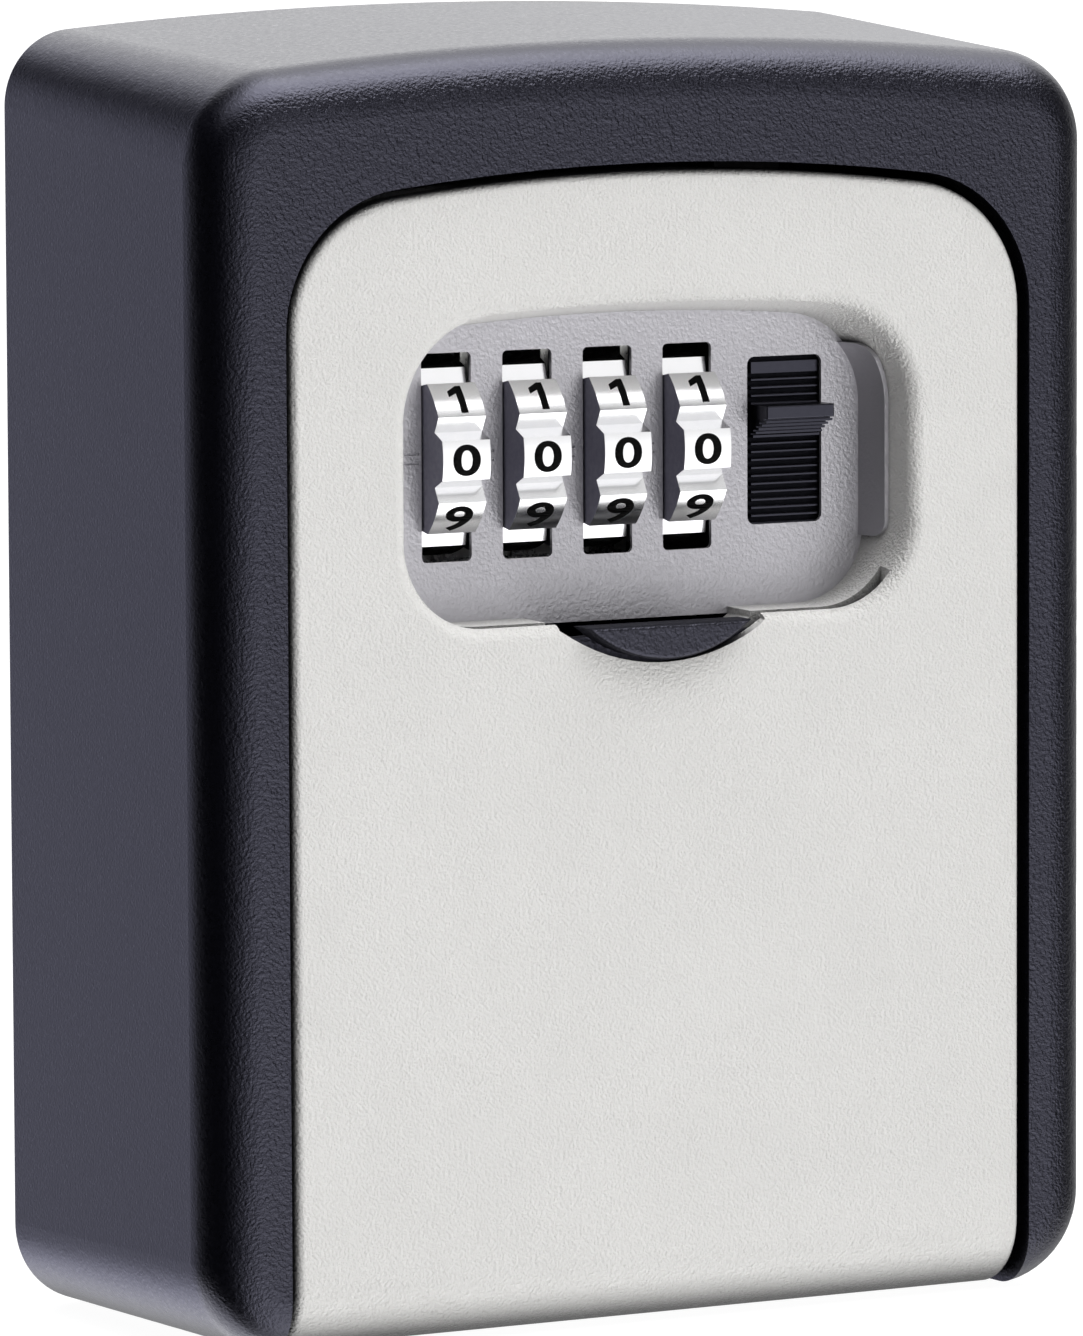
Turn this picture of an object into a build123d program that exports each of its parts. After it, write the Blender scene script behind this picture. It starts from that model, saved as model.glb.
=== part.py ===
from build123d import *
import math
import os

# Wall-mounted key lock box: a die-cast case with an inset bottom-hinged door that carries a
# four-wheel code lock, a pull-down latch lever, a weather shutter and a code-reset slide.
# Millimetres, +Z up, X to the right seen from the front, front towards -Y.
# Origin: centre of the back face that lies against the wall.

# ---------------------------------------------------------------- overall box
BOX_W = 93.0
BOX_D = 41.0
BOX_H = 120.0
WALL = 3.0
TOP_SAG = 2.8            # rise of the arched top over its width, at the front
BACK_SAG = 2.3
FRONT_DROP = 2.65        # the top slopes down to the front by this much
TOP_CORNER_R = 8.8       # of the front outline
BOTTOM_CORNER_R = 9.0
BACK_TOP_CORNER_R = 7.0  # the corners tighten towards the wall
BACK_BOTTOM_CORNER_R = 7.7
FRONT_FILLET = 5.2
BACK_FILLET = 0.4

# ---------------------------------------------------------------- door
DOOR_HALF_W = 38.2
DOOR_TOP = 45.8          # apex of the arched door top
DOOR_SAG = 3.4
DOOR_CORNER_R = 12.0
DOOR_GAP = 0.75
DOOR_RECESS = 0.4        # door face behind the bezel face
DOOR_SKIN = 2.0
DOOR_RIM_DEPTH = 5.6     # depth of the tray wall round the door
DOOR_EDGE_R = 0.8
HINGE_Y = -34.0
HINGE_Z = -53.3
HINGE_R = 6.6
HINGE_PIN_R = 1.5
PIN_FIT = 0.05
PIN_LEN = 8.0

# ---------------------------------------------------------------- dial recess
RECESS_DEPTH = 7.0
RECESS_HALF_W = 25.3     # at the recess floor
RECESS_TOP = 32.6
RECESS_TOP_SAG = 1.5
RECESS_BOTTOM = 5.0
RECESS_CORNER_TOP = 8.5
RECESS_CORNER_BOTTOM = 7.0
RECESS_DRAFT = 11.0      # degrees
RECESS_SILL = 0.15       # the lower wall is all but level
RECESS_LIP_R = 1.3
WELL_WALL = 1.6
NOTCH_R = 19.0
NOTCH_HALF_W = 10.8
NOTCH_BOTTOM = 1.0
NOTCH_TOP = 4.6

# ---------------------------------------------------------------- dial plate
PLATE_T = 1.0
PLATE_LIP = 0.4          # the plate is thinned from behind round its windows
WINDOW_W = 5.15
WINDOW_H = 19.0
LEVER_WINDOW_W = 7.95
LEVER_WINDOW_H = 15.5
LEVER_X = 16.9
LEVER_WINDOW_Z = 20.2
WINDOW_CORNER_R = 0.5
MARK_W = 1.5
MARK_GAP = 0.85
MARK_T = 0.2
MARK_DEPTH = 0.2
TAB_T = 0.45
TAB_REACH = 3.6
TAB_HALF_H = 9.0

# ---------------------------------------------------------------- dials and sleeves
DIAL_X = (-18.7, -10.3, -1.9, 6.5)
DIAL_Z = 20.0
DIAL_APOTHEM = 9.1
DIAL_FACES = 10
DIAL_FACE_HALF = 1.8
DIAL_GROOVE = 1.15
DIAL_HALF_T = 2.45
DIAL_PROUD = 3.7         # front face of a dial in front of the plate
SPINDLE_R = 1.4
SLEEVE_BORE_R = 1.46
SLEEVE_R = 2.1
DIAL_BORE_R = 2.35
KEY_R = 2.9
KEYWAY_R = 3.1
KEY_W = 0.7
KEYWAY_W = 0.95
KEY_LEN = 1.0
CAM_R = 4.7
CAM_T = 1.0
CAM_ROOT_R = 2.35
GATE_W = 1.8
REST_NOTCH_W = 1.6
CAM_GROOVE = 0.55        # relief in the back of the plate for the code discs
FORK_T = 0.6
FORK_GAP = 0.2
SLEEVE_TRAVEL = 1.2

# ---------------------------------------------------------------- lock frame and cover
FRAME_HALF_W = 26.6
FRAME_BOTTOM = 4.4
FRAME_TOP = 37.2
FRAME_WALL = 1.5
FRAME_BACK = -17.4
CHEEK_X = 9.3
CHEEK_T = 1.1
COVER_T = 1.2
EAR_X = 32.0
EAR_Z = (9.5, 31.5)
EAR_R = 3.0
SCREW_R = 1.1
SCREW_HEAD_R = 2.0

# ---------------------------------------------------------------- latch
LATCH_TRAVEL = 2.4
BAR_BOTTOM = 33.2
BAR_TOP = 35.3
BAR_FRONT = -31.8
BAR_BACK = -26.5
BOLT_X = (-14.0, 14.0)
BOLT_W = 7.0
BOLT_T = 3.0
BOLT_TOP = 47.7
STRIKE_BOTTOM = 46.3
PRONG_TIP_Z = 24.9
PRONG_W = 1.1
PRONG_T = 0.8

# ---------------------------------------------------------------- shutter
SHUTTER_FRONT_T = 1.35   # below the door face
SHUTTER_T = 1.4
SHUTTER_TRAVEL = 28.0
SHUTTER_HALF_W = 24.4
SHUTTER_BOTTOM = -33.0
POCKET_SKIN = 1.2
POCKET_HALF_W = 24.8
POCKET_BOTTOM = -36.0
LENS_R = 13.1
LENS_BOTTOM = 1.35
LENS_TOP = 4.6
LENS_PROUD = 1.25

# ---------------------------------------------------------------- wall fixing
FIX_X = 22.0
FIX_Z = 34.0
FIX_R = 2.4

FACE_Y = -BOX_D
DOOR_Y = FACE_Y + DOOR_RECESS
PLATE_Y = DOOR_Y + RECESS_DEPTH
PLATE_BACK = PLATE_Y + PLATE_T
DIAL_Y = PLATE_Y - DIAL_PROUD + DIAL_APOTHEM
HALF_H = BOX_H / 2
HALF_W = BOX_W / 2
DIAL_R = math.hypot(DIAL_APOTHEM, DIAL_FACE_HALF)

os.makedirs("parts", exist_ok=True)


# ---------------------------------------------------------------- helpers
def front_plane(y):
    """Front-view drawing plane (X right, Z up) at a depth y."""
    return Plane(origin=(0, y, 0), x_dir=(1, 0, 0), z_dir=(0, -1, 0))


def prism(sketch, y_back, y_front, taper=0.0):
    """Extrude a front-view sketch from y_back towards the front."""
    return extrude(front_plane(y_back) * sketch, amount=y_back - y_front, taper=taper)


def side_prism(sketch, x0, x1):
    """Extrude a side-view sketch (first axis Y, second axis Z) from x0 to x1."""
    plane = Plane(origin=(x0, 0, 0), x_dir=(0, 1, 0), z_dir=(1, 0, 0))
    return extrude(plane * sketch, amount=x1 - x0)


def blk(x0, x1, y0, y1, z0, z1):
    return Pos((x0 + x1) / 2, (y0 + y1) / 2, (z0 + z1) / 2) * Box(x1 - x0, y1 - y0, z1 - z0)


def rod_x(r, x0, x1, y, z):
    return Pos((x0 + x1) / 2, y, z) * Rot(0, 90, 0) * Cylinder(r, x1 - x0)


def rod_y(r, y0, y1, x, z):
    return Pos(x, (y0 + y1) / 2, z) * Rot(90, 0, 0) * Cylinder(r, y1 - y0)


def rod_z(r, z0, z1, x, y):
    return Pos(x, y, (z0 + z1) / 2) * Cylinder(r, z1 - z0)


def arched(half_w, top, sag, bottom, r_top, r_bottom):
    """Outline with an arched top edge and rounded corners."""
    side = top - sag
    top_arc = ThreePointArc((half_w, side), (0, top), (-half_w, side))
    rest = Polyline((-half_w, side), (-half_w, bottom), (half_w, bottom), (half_w, side))
    face = make_face(Curve() + [top_arc, rest])
    verts = face.vertices()
    uppers = [v for v in verts if v.Y > bottom + 1.0]
    lowers = [v for v in verts if v.Y <= bottom + 1.0]
    if r_top > 0:
        face = fillet(uppers, r_top)
    if r_bottom > 0:
        lowers = [v for v in face.vertices() if abs(v.Y - bottom) < 0.01 and abs(abs(v.X) - half_w) < 0.01]
        face = fillet(lowers, r_bottom)
    return face


def recess_outline(grow=0.0):
    """Outline of the dial recess at its floor, grown or shrunk by an offset."""
    return arched(RECESS_HALF_W + grow, RECESS_TOP + grow, RECESS_TOP_SAG, RECESS_BOTTOM - grow,
                  RECESS_CORNER_TOP + grow, RECESS_CORNER_BOTTOM + grow)


def recess_mouth():
    """Outline of the dial recess at the door face: drafted all round but for its floor-side edge."""
    grow = RECESS_DEPTH * math.tan(math.radians(RECESS_DRAFT))
    return arched(RECESS_HALF_W + grow, RECESS_TOP + grow, RECESS_TOP_SAG, RECESS_BOTTOM - RECESS_SILL,
                  RECESS_CORNER_TOP + grow, RECESS_CORNER_BOTTOM + grow)


def screw_y(x, z, y_seat, y_tip, r=SCREW_R, head_r=SCREW_HEAD_R, head_h=1.2):
    """Pan-head cross-recess screw entering from the back, along -Y."""
    body = rod_y(r, y_tip, y_seat, x, z) + rod_y(head_r, y_seat, y_seat + head_h, x, z)
    depth = head_h * 0.6
    for w, h in ((head_r * 1.2, head_r * 0.28), (head_r * 0.28, head_r * 1.2)):
        body -= blk(x - w / 2, x + w / 2, y_seat + head_h - depth, y_seat + head_h + 1, z - h / 2, z + h / 2)
    return body


def coil(radius, wire_r, pitch, height):
    """Round-wire compression spring along +Z, starting at z = 0."""
    path = Helix(pitch=pitch, height=height, radius=radius)
    section = Plane(origin=path @ 0, z_dir=path % 0) * Circle(wire_r)
    return sweep(section, path=path)


# ---------------------------------------------------------------- case
def make_case():
    outline_back = arched(HALF_W, HALF_H, BACK_SAG, -HALF_H, BACK_TOP_CORNER_R, BACK_BOTTOM_CORNER_R)
    outline_front = arched(HALF_W, HALF_H - FRONT_DROP, TOP_SAG, -HALF_H, TOP_CORNER_R, BOTTOM_CORNER_R)
    body = loft([front_plane(0) * outline_back, front_plane(FACE_Y) * outline_front], ruled=True)
    front = body.faces().sort_by(Axis.Y)[0]
    body = fillet(front.edges(), FRONT_FILLET)
    back = body.faces().sort_by(Axis.Y)[-1]
    body = fillet(back.edges(), BACK_FILLET)

    inner = arched(HALF_W - WALL, HALF_H - FRONT_DROP - WALL, TOP_SAG, -HALF_H + WALL,
                   TOP_CORNER_R - WALL, BOTTOM_CORNER_R - WALL)
    cavity = prism(inner, -WALL, FACE_Y + WALL)
    body -= cavity

    opening = arched(DOOR_HALF_W + DOOR_GAP, DOOR_TOP + DOOR_GAP, DOOR_SAG, -HALF_H - 5.0,
                     DOOR_CORNER_R + DOOR_GAP, 0)
    body -= prism(opening, FACE_Y + WALL + 0.5, FACE_Y - 1.0)

    # columns beside the door's foot, bored for the hinge pins
    col_in = DOOR_HALF_W + DOOR_GAP
    top_of_col = HINGE_Z + HINGE_R + 4.0
    for s in (-1, 1):
        xs = sorted((s * col_in, s * (HALF_W - WALL)))
        col = blk(xs[0], xs[1], FACE_Y + WALL - 0.1, HINGE_Y + HINGE_R + 3.0, -HALF_H + WALL, top_of_col)
        body += col & prism(outline_front, -1.0, FACE_Y + 1.0)
        # ledge behind the door's side rim
        xs = sorted((s * (col_in - 2.2), s * (HALF_W - WALL)))
        ledge_front = DOOR_Y + DOOR_RIM_DEPTH + 0.4
        body += blk(xs[0], xs[1], ledge_front, ledge_front + 2.0, top_of_col, DOOR_TOP - DOOR_CORNER_R - 4.0)

    # concave front end of the floor, concentric with the hinge
    body -= rod_x(HINGE_R + 0.4, -col_in, col_in, HINGE_Y, HINGE_Z)
    body -= blk(-col_in, col_in, FACE_Y - 1, HINGE_Y, -HALF_H - 1, HINGE_Z)

    # strike rib that the two bolts sit behind
    strike = blk(-21.0, 21.0, FACE_Y + WALL - 0.1, BAR_FRONT - 0.3, STRIKE_BOTTOM, HALF_H - FRONT_DROP - 1.5)
    strike -= prism(opening, FACE_Y + 20, FACE_Y - 1.0)
    body += strike

    pin_x0 = col_in
    for s in (-1, 1):
        xs = sorted((s * (pin_x0 - 1.0), s * (DOOR_HALF_W - 2.5 + PIN_LEN)))
        body -= rod_x(HINGE_PIN_R, xs[0], xs[1], HINGE_Y, HINGE_Z)
    for x in (-FIX_X, FIX_X):
        for z in (-FIX_Z, FIX_Z):
            body -= rod_y(FIX_R, -WALL - 1, 1, x, z)
    return body


def make_hinge_pins():
    pins = Part()
    for s in (-1, 1):
        x_in = s * (DOOR_HALF_W - 2.5)
        x_out = s * (DOOR_HALF_W - 2.5 + PIN_LEN)
        xs = sorted((x_in, x_out))
        pins += rod_x(HINGE_PIN_R, xs[0], xs[1], HINGE_Y, HINGE_Z)
    return pins


# ---------------------------------------------------------------- door
def make_door():
    outer = arched(DOOR_HALF_W, DOOR_TOP, DOOR_SAG, HINGE_Z, DOOR_CORNER_R, 0)
    inner = arched(DOOR_HALF_W - DOOR_SKIN, DOOR_TOP - DOOR_SKIN, DOOR_SAG, HINGE_Z - 20,
                   DOOR_CORNER_R - DOOR_SKIN, 0)
    rim_back = DOOR_Y + DOOR_RIM_DEPTH
    body = prism(outer, rim_back, DOOR_Y)
    front = body.faces().sort_by(Axis.Y)[0]
    body = fillet([e for e in front.edges() if e.center().Z > HINGE_Z + 0.5], DOOR_EDGE_R)
    # rounded foot about the hinge axis, tangent to the door face
    foot = rod_x(HINGE_R, -DOOR_HALF_W, DOOR_HALF_W, HINGE_Y, HINGE_Z)
    body += fillet(foot.edges().filter_by(GeomType.CIRCLE), DOOR_EDGE_R)

    hollow = prism(inner, rim_back + 40, DOOR_Y + DOOR_SKIN)
    hollow &= blk(-60, 60, -60, 60, HINGE_Z, 80)
    body -= hollow
    # hollow of the foot, leaving end cheeks round the hinge pins
    cheek = 2.5
    room = rod_x(HINGE_R - DOOR_SKIN, -DOOR_HALF_W + cheek, DOOR_HALF_W - cheek, HINGE_Y, HINGE_Z)
    room += blk(-DOOR_HALF_W + cheek, DOOR_HALF_W - cheek, HINGE_Y - HINGE_R + DOOR_SKIN, HINGE_Y + 20, HINGE_Z, HINGE_Z + 20)
    body -= room

    # well of the dial recess, open at its floor
    shell_out = prism(recess_outline(WELL_WALL), PLATE_Y, DOOR_Y + DOOR_SKIN / 2, taper=-RECESS_DRAFT)
    body += shell_out
    body -= loft([front_plane(PLATE_Y) * recess_outline(), front_plane(DOOR_Y) * recess_mouth()], ruled=True)

    # soft lip round the recess
    rim_edges = [e for e in body.edges()
                 if abs(e.center().Y - DOOR_Y) < 0.05 and abs(e.center().X) < RECESS_HALF_W + 4
                 and RECESS_BOTTOM - 5 < e.center().Z < RECESS_TOP + 4
                 and abs(e.bounding_box().max.Y - DOOR_Y) < 0.05]
    body = fillet(rim_edges, RECESS_LIP_R)

    # thumb notch below the recess
    centre_z = NOTCH_BOTTOM + NOTCH_R
    notch_2d = Pos(0, centre_z) * Circle(NOTCH_R)
    notch_2d &= Pos(0, (NOTCH_TOP + NOTCH_BOTTOM - 2) / 2 + 1.0) * Rectangle(4 * NOTCH_HALF_W, NOTCH_TOP - NOTCH_BOTTOM + 4)
    notch_2d &= Pos(0, NOTCH_TOP) * Rectangle(2 * NOTCH_HALF_W, 20)
    body -= prism(notch_2d, PLATE_Y + 1.0, DOOR_Y - 1.0)

    # pocket and slot in which the shutter runs
    slot_back = DOOR_Y + SHUTTER_FRONT_T + SHUTTER_T + 0.2
    body -= blk(-POCKET_HALF_W, POCKET_HALF_W, DOOR_Y + POCKET_SKIN, slot_back, POCKET_BOTTOM, RECESS_BOTTOM + 8.0)

    # bosses for the lock screws and for the shutter retainer
    skin_back = DOOR_Y + DOOR_SKIN
    for s in (-1, 1):
        for z in EAR_Z:
            body += rod_y(EAR_R, skin_back - 0.5, PLATE_Y, s * EAR_X, z)
            body -= rod_y(SCREW_R, skin_back + 1.0, PLATE_Y + 1, s * EAR_X, z)
    retainer_y = slot_back
    for s in (-1, 1):
        for z in (-34.0, -4.0):
            body += rod_y(2.2, skin_back - 0.5, retainer_y, s * 28.0, z)
            body -= rod_y(0.8, skin_back - 0.4, retainer_y + 1, s * 28.0, z)
    # bores for the hinge pins in the end cheeks
    for s in (-1, 1):
        xs = sorted((s * (DOOR_HALF_W - 3.5), s * (DOOR_HALF_W + 1)))
        body -= rod_x(HINGE_PIN_R + PIN_FIT, xs[0], xs[1], HINGE_Y, HINGE_Z)
    return body


def make_dial_plate():
    hw = EAR_X + EAR_R
    base = Pos(0, (FRAME_BOTTOM + FRAME_TOP) / 2) * RectangleRounded(2 * hw, FRAME_TOP - FRAME_BOTTOM, EAR_R)
    body = prism(base, PLATE_BACK, PLATE_Y)
    for x in DIAL_X:
        win = Pos(x, DIAL_Z) * RectangleRounded(WINDOW_W, WINDOW_H, WINDOW_CORNER_R)
        body -= prism(win, PLATE_BACK + 1, PLATE_Y - 1)
    win = Pos(LEVER_X, LEVER_WINDOW_Z) * RectangleRounded(LEVER_WINDOW_W, LEVER_WINDOW_H, WINDOW_CORNER_R * 1.5)
    body -= prism(win, PLATE_BACK + 1, PLATE_Y - 1)
    # thinned behind the windows so that their edges look sharp and the thumb pad sits close to the face
    lw = LEVER_WINDOW_W + 1.4
    body -= blk(LEVER_X - lw / 2, LEVER_X + lw / 2, PLATE_Y + PLATE_LIP, PLATE_BACK + 1,
                FRAME_BOTTOM + 1.5, FRAME_TOP - 2.0)
    ww, wh = WINDOW_W / 2 + 0.6, WINDOW_H / 2 + 0.6
    for x in DIAL_X:
        body -= blk(x - ww, x + ww, PLATE_Y + PLATE_LIP, PLATE_BACK + 1, DIAL_Z - wh, DIAL_Z + wh)
    # relief for the code discs
    for x in DIAL_X:
        disc_r = x - DIAL_HALF_T - FORK_GAP - FORK_T - 0.1
        body -= blk(disc_r - CAM_T - SLEEVE_TRAVEL - 0.25, disc_r + 0.25, PLATE_BACK - CAM_GROOVE, PLATE_BACK + 1,
                    DIAL_Z - 3.2, DIAL_Z + 3.2)
    # engraved index marks beside each window: an open frame with the two short bars of an equals sign
    half = WINDOW_W / 2
    spots = [DIAL_X[0] - half - MARK_W / 2 - 0.25]
    spots += [(a + b) / 2 for a, b in zip(DIAL_X[:-1], DIAL_X[1:])]
    spots += [DIAL_X[3] + half + MARK_W / 2 + 0.45]
    for x in spots:
        for dz in (-MARK_GAP / 2, MARK_GAP / 2):
            body -= blk(x - MARK_W / 2, x + MARK_W / 2, PLATE_Y - 1, PLATE_Y + MARK_DEPTH,
                        DIAL_Z + dz - MARK_T / 2, DIAL_Z + dz + MARK_T / 2)
    # tab that climbs the right wall of the recess
    outer = prism(recess_outline(-0.02), PLATE_Y, PLATE_Y - TAB_REACH, taper=-RECESS_DRAFT)
    inner = prism(recess_outline(-TAB_T), PLATE_Y + 0.0, PLATE_Y - TAB_REACH - 1, taper=-RECESS_DRAFT)
    tab = outer - inner
    side = Pos(PLATE_Y - TAB_REACH / 2 + 1.0, DIAL_Z) * RectangleRounded(TAB_REACH + 2.0, 2 * TAB_HALF_H, 1.6)
    tab &= side_prism(side, 10, 40)
    tab &= blk(10, 40, PLATE_Y - TAB_REACH, PLATE_Y + 0.0, 0, 60)
    body += tab
    for s in (-1, 1):
        for z in EAR_Z:
            body -= rod_y(SCREW_R + 0.1, PLATE_Y - 1, PLATE_BACK + 1, s * EAR_X, z)
    return body


# ---------------------------------------------------------------- lock body
def make_lock_frame():
    fw, fb, ft, w = FRAME_HALF_W, FRAME_BOTTOM, FRAME_TOP, FRAME_WALL
    body = blk(-fw, fw, PLATE_BACK, FRAME_BACK, fb, ft)
    body -= blk(-fw + w, fw - w, PLATE_BACK - 1, FRAME_BACK + 1, fb + w, ft - w)
    body += blk(CHEEK_X, CHEEK_X + CHEEK_T, PLATE_BACK, FRAME_BACK, fb + w, BAR_BOTTOM - LATCH_TRAVEL - 0.7)
    for s in (-1, 1):
        xs = sorted((s * fw, s * EAR_X))
        for z in EAR_Z:
            body += blk(xs[0], xs[1], PLATE_BACK, PLATE_BACK + 2.0, z - EAR_R, z + EAR_R)
            body += rod_y(EAR_R, PLATE_BACK, PLATE_BACK + 2.0, s * EAR_X, z)
            body -= rod_y(SCREW_R + 0.1, PLATE_BACK - 1, PLATE_BACK + 3, s * EAR_X, z)
    # slots for the two bolts
    for x in BOLT_X:
        body -= blk(x - BOLT_W / 2 - 0.3, x + BOLT_W / 2 + 0.3, BAR_FRONT - 0.3, BAR_FRONT + BOLT_T + 0.3, ft - w - 1, ft + 1)
    # spindle bores
    body -= rod_x(SPINDLE_R, -fw - 1, CHEEK_X + CHEEK_T + 1, DIAL_Y, DIAL_Z)
    # posts for the cover screws
    for x, z in cover_screw_spots():
        body += rod_y(1.7, PLATE_BACK + 3.5, FRAME_BACK, x, z)
        body -= rod_y(0.8, FRAME_BACK - 6.0, FRAME_BACK + 1, x, z)
    return body


def cover_screw_spots():
    x, z0, z1 = FRAME_HALF_W - 1.9, FRAME_BOTTOM + 2.6, BAR_BOTTOM - LATCH_TRAVEL - 2.2
    return [(-x, z0), (x, z0), (-x, z1), (x, z1)]


def make_spindle():
    body = rod_x(SPINDLE_R, -FRAME_HALF_W - 1.6, CHEEK_X + CHEEK_T + 1.2, DIAL_Y, DIAL_Z)
    for x in (-FRAME_HALF_W - 1.1, CHEEK_X + CHEEK_T + 0.2):
        ring = rod_x(SPINDLE_R + 1, x, x + 0.6, DIAL_Y, DIAL_Z) - rod_x(SPINDLE_R - 0.4, x, x + 0.6, DIAL_Y, DIAL_Z)
        body -= ring
    return body


def make_clips():
    clips = Part()
    for x in (-FRAME_HALF_W - 1.1, CHEEK_X + CHEEK_T + 0.2):
        clip = rod_x(SPINDLE_R + 1.1, x + 0.05, x + 0.55, DIAL_Y, DIAL_Z)
        clip -= rod_x(SPINDLE_R - 0.38, x - 1, x + 2, DIAL_Y, DIAL_Z)
        clip -= blk(x - 1, x + 2, DIAL_Y, DIAL_Y + 5, DIAL_Z - 1.0, DIAL_Z + 1.0)
        clips += clip
    return clips


def polar_yz(r, deg):
    """Point in the side view at a radius and an angle from straight up, positive towards the back."""
    a = math.radians(deg)
    return (DIAL_Y + r * math.sin(a), DIAL_Z + r * math.cos(a))


def make_dial(x):
    """Number wheel: ten number faces round its rim with a V groove between neighbours."""
    step = 360.0 / DIAL_FACES
    half = math.degrees(math.atan2(DIAL_FACE_HALF, DIAL_APOTHEM))
    groove_r = DIAL_R * math.cos(math.radians(step / 2 - half)) - DIAL_GROOVE
    rim = []
    for i in range(DIAL_FACES):
        mid = i * step - 90.0
        start, end = polar_yz(DIAL_R, mid - half), polar_yz(DIAL_R, mid + half)
        groove = polar_yz(groove_r, mid + step / 2)
        rim += [ThreePointArc(start, polar_yz(DIAL_R, mid), end), Line(end, groove),
                Line(groove, polar_yz(DIAL_R, mid + step - half))]
    body = side_prism(make_face(rim), x - DIAL_HALF_T, x + DIAL_HALF_T)
    body -= rod_x(DIAL_BORE_R, x - DIAL_HALF_T - 1, x + DIAL_HALF_T + 1, DIAL_Y, DIAL_Z)
    left = x - DIAL_HALF_T
    key = blk(left - 1, left + KEY_LEN + 0.1, DIAL_Y - KEYWAY_W / 2, DIAL_Y + KEYWAY_W / 2, DIAL_Z, DIAL_Z + KEYWAY_R)
    axis = Axis((x, DIAL_Y, DIAL_Z), (1, 0, 0))
    for i in range(DIAL_FACES):
        body -= key.rotate(axis, i * step)
    return body


def make_sleeve(x):
    """Keyed sleeve through a dial with its notched code disc on the left."""
    left = x - DIAL_HALF_T
    disc_r = left - FORK_GAP - FORK_T - 0.1
    disc_l = disc_r - CAM_T
    body = rod_x(SLEEVE_R, disc_l, x + DIAL_HALF_T - 0.4, DIAL_Y, DIAL_Z)
    disc = rod_x(CAM_R, disc_l, disc_r, DIAL_Y, DIAL_Z)
    axis = Axis((x, DIAL_Y, DIAL_Z), (1, 0, 0))
    step = 360.0 / DIAL_FACES
    y, z, r0, r1 = DIAL_Y, DIAL_Z, CAM_ROOT_R, CAM_R + 0.3
    # the gate faces up at the set code; two narrower half-step notches lie a quarter turn from it
    for width, turn in ((GATE_W, 0.0), (REST_NOTCH_W, 90.0), (REST_NOTCH_W, 270.0)):
        notch = blk(disc_l - 1, disc_r + 1, y - width / 2, y + width / 2, z + r0, z + r1)
        disc -= notch.rotate(axis, turn)
    body += disc
    for turn in (90.0, 270.0):
        key = blk(left - 0.0, left + KEY_LEN, y - KEY_W / 2, y + KEY_W / 2, z + SLEEVE_R - 0.5, z + KEY_R)
        body += key.rotate(axis, turn + step * 0.5)
    body -= rod_x(SLEEVE_BORE_R, disc_l - 1, x + DIAL_HALF_T + 1, DIAL_Y, DIAL_Z)
    return body


def make_detent():
    """Leaf-spring comb behind the dials; each finger rests in a groove of its dial."""
    y0 = FRAME_BACK - 0.5
    body = blk(-21.4, 8.6, y0, FRAME_BACK, 6.2, 9.2)
    ang = 90.0 + 360.0 / DIAL_FACES / 2
    half = math.degrees(math.atan2(DIAL_FACE_HALF, DIAL_APOTHEM))
    groove_r = DIAL_R * math.cos(math.radians(18.0 - half)) - DIAL_GROOVE
    gy, gz = polar_yz(groove_r + 0.45, ang)
    for x in DIAL_X:
        body += blk(x - 1.2, x + 1.2, y0, FRAME_BACK, 9.2, gz + 1.6)
        tip = make_face(Polyline((y0, gz + 1.2), (y0, gz - 1.2), (gy, gz - 0.25), (gy, gz + 0.25), close=True))
        body += side_prism(tip, x - 1.2, x + 1.2)
    return body


def make_cover():
    body = blk(-FRAME_HALF_W, FRAME_HALF_W, FRAME_BACK, FRAME_BACK + COVER_T, FRAME_BOTTOM, FRAME_TOP)
    body = fillet(body.edges().filter_by(Axis.Y), 2.0)
    for x, z in cover_screw_spots():
        body -= rod_y(1.0, FRAME_BACK - 1, FRAME_BACK + 3, x, z)
    body -= blk(*RESET_SLOT)
    return body


RESET_BUTTON_X = -7.0
RESET_SLOT = (RESET_BUTTON_X - 3.2 - SLEEVE_TRAVEL, RESET_BUTTON_X + 3.2, FRAME_BACK - 1, FRAME_BACK + 3, 22.6, 27.4)


def make_reset():
    """Code-set slide: a comb of forks that shifts the sleeves, with a thumb button through the cover."""
    y_plate = FRAME_BACK - 0.5 - 0.9
    body = blk(DIAL_X[0] - 3.4, DIAL_X[3] + 1.0, y_plate, y_plate + 0.7, 22.4, 27.6)
    for x in DIAL_X:
        right = x - DIAL_HALF_T - FORK_GAP
        fork = blk(right - FORK_T, right, DIAL_Y - 2.5, y_plate + 0.7, 15.4, 24.6)
        fork += blk(right - FORK_T, right, y_plate - 0.0, y_plate + 0.7, 15.4, 27.6)
        fork -= rod_x(SLEEVE_R + 0.3, right - 2, right + 2, DIAL_Y, DIAL_Z)
        fork -= blk(right - 2, right + 2, DIAL_Y - 6, DIAL_Y, DIAL_Z - SLEEVE_R - 0.3, DIAL_Z + SLEEVE_R + 0.3)
        body += fork
    bx = RESET_BUTTON_X
    button = blk(bx - 2.9, bx + 2.9, y_plate + 0.5, FRAME_BACK + COVER_T + 1.4, 23.0, 27.0)
    for i in range(3):
        gx = bx - 1.6 + 1.6 * i
        button -= blk(gx - 0.3, gx + 0.3, FRAME_BACK + COVER_T + 0.9, FRAME_BACK + COVER_T + 2, 22, 28)
    body += button
    return body


def make_sleeve_springs():
    springs = Part()
    for x in DIAL_X:
        left = x - DIAL_HALF_T - FORK_GAP - FORK_T - 0.1 - CAM_T
        ring = coil(1.86, 0.18, 0.6, SLEEVE_TRAVEL + 0.2)
        springs += Pos(left - SLEEVE_TRAVEL - 0.45, DIAL_Y, DIAL_Z) * Rot(0, 90, 0) * ring
    return springs


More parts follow.
